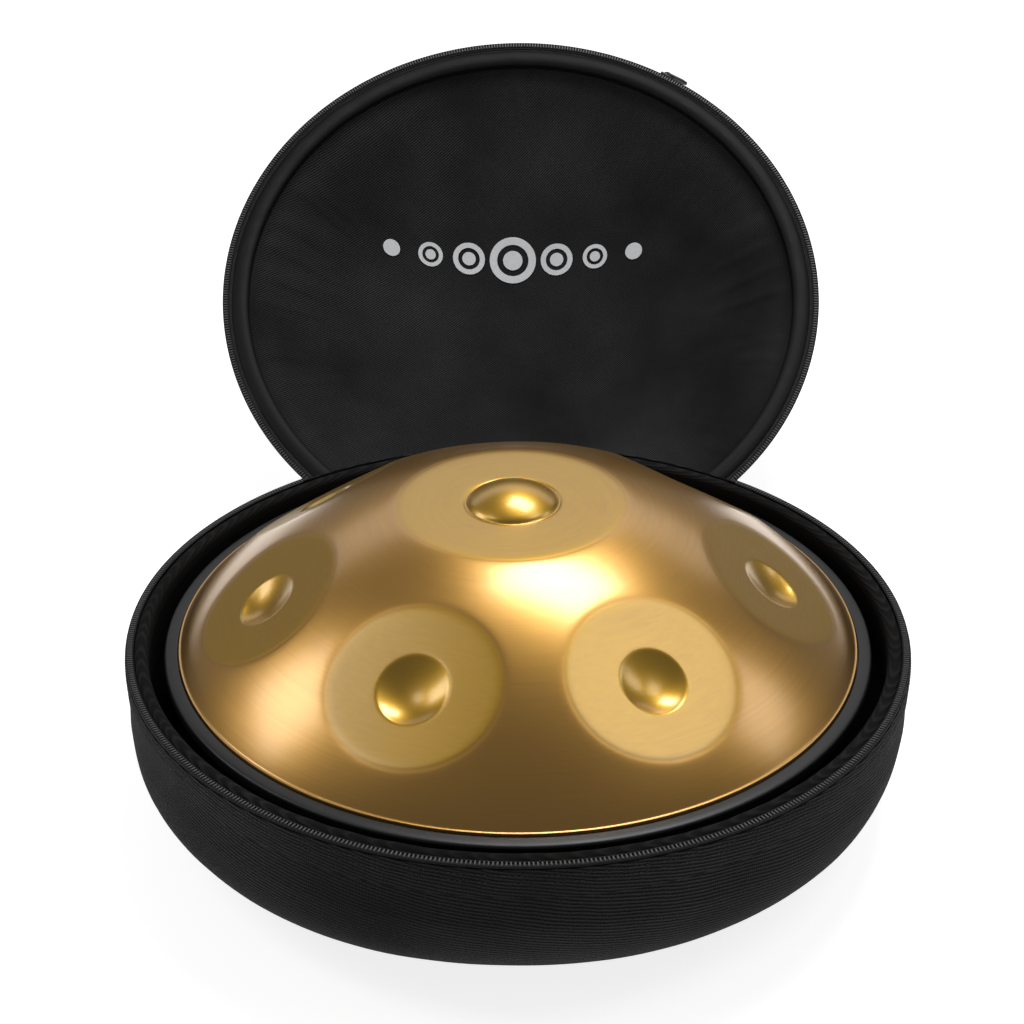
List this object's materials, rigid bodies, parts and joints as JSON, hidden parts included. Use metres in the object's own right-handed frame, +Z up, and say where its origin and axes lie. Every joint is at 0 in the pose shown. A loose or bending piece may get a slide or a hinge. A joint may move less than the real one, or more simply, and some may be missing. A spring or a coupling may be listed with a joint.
{
  "type": "handpan in open zip case",
  "caption": "Gold steel handpan with dimpled tone fields and rubber edge, lying in a round padded zip case whose domed lid swings over it.",
  "frame": {"origin": "middle of the case's flat bottom, on the ground", "axes": "+Z up, +Y towards the lid's hinge at the back, +X to the right seen from the front"},
  "size_m": [0.58, 1.0513, 0.3552],
  "materials": {
    "cloth": "matte",
    "lining": "satin",
    "foam": "matte",
    "zip_tape": "matte",
    "zip_nylon": "satin",
    "zip_metal": "satin",
    "rubber_edge": "satin",
    "rubber_pull": "satin",
    "nitrided_steel": "satin",
    "adhesive": "matte"
  },
  "bodies": {
    "case_base": {"base_bottom_panel": "cloth", "base_outer_wall": "cloth", "base_foam_floor": "foam", "base_foam_wall": "foam", "base_lining_floor": "lining", "base_lining_wall": "lining", "base_rim_roll": "lining", "base_zip_tape": "zip_tape", "base_zip_coil": "zip_nylon", "base_zip_stop_left": "zip_metal", "base_zip_stop_right": "zip_metal", "cradle_ring": "foam", "hinge_gusset": "cloth"},
    "case_lid": {"lid_outer_panel": "cloth", "lid_foam": "foam", "lid_lining": "lining", "lid_rim_roll": "lining", "lid_zip_tape": "zip_tape", "lid_zip_coil": "zip_nylon", "lid_zip_stop_left": "zip_metal", "lid_zip_stop_right": "zip_metal"},
    "slider": {"zip_slider": "zip_metal"},
    "pull": {"zip_pull": "rubber_pull"},
    "instrument": {"top_shell": "nitrided_steel", "bottom_shell": "nitrided_steel", "rim_adhesive": "adhesive", "rim_trim": "rubber_edge"}
  },
  "joints": [
    {"name": "lid_hinge", "type": "hinge", "parent": "case_base", "child": "case_lid", "pos_m": [0, 0.273, 0.0677], "axis": [1, 0, 0], "range_deg": [0, 142.86], "deforming": ["hinge_gusset"]},
    {"name": "zip_run", "type": "hinge", "parent": "case_lid", "child": "slider", "pos_m": [0, 0.52975, 0.18087], "axis": [0, -0.6038, 0.7972], "range_deg": [-106, 167]},
    {"name": "pull_flip", "type": "hinge", "parent": "slider", "child": "pull", "pos_m": [0.15013, 0.7342, 0.3297], "axis": [0, -0.6038, 0.7972], "range_deg": [0, 180]},
    {"name": "pan_lift", "type": "slide", "parent": "case_base", "child": "instrument", "axis": [0, 0, 1], "range_m": [0, 0.26]}
  ]
}
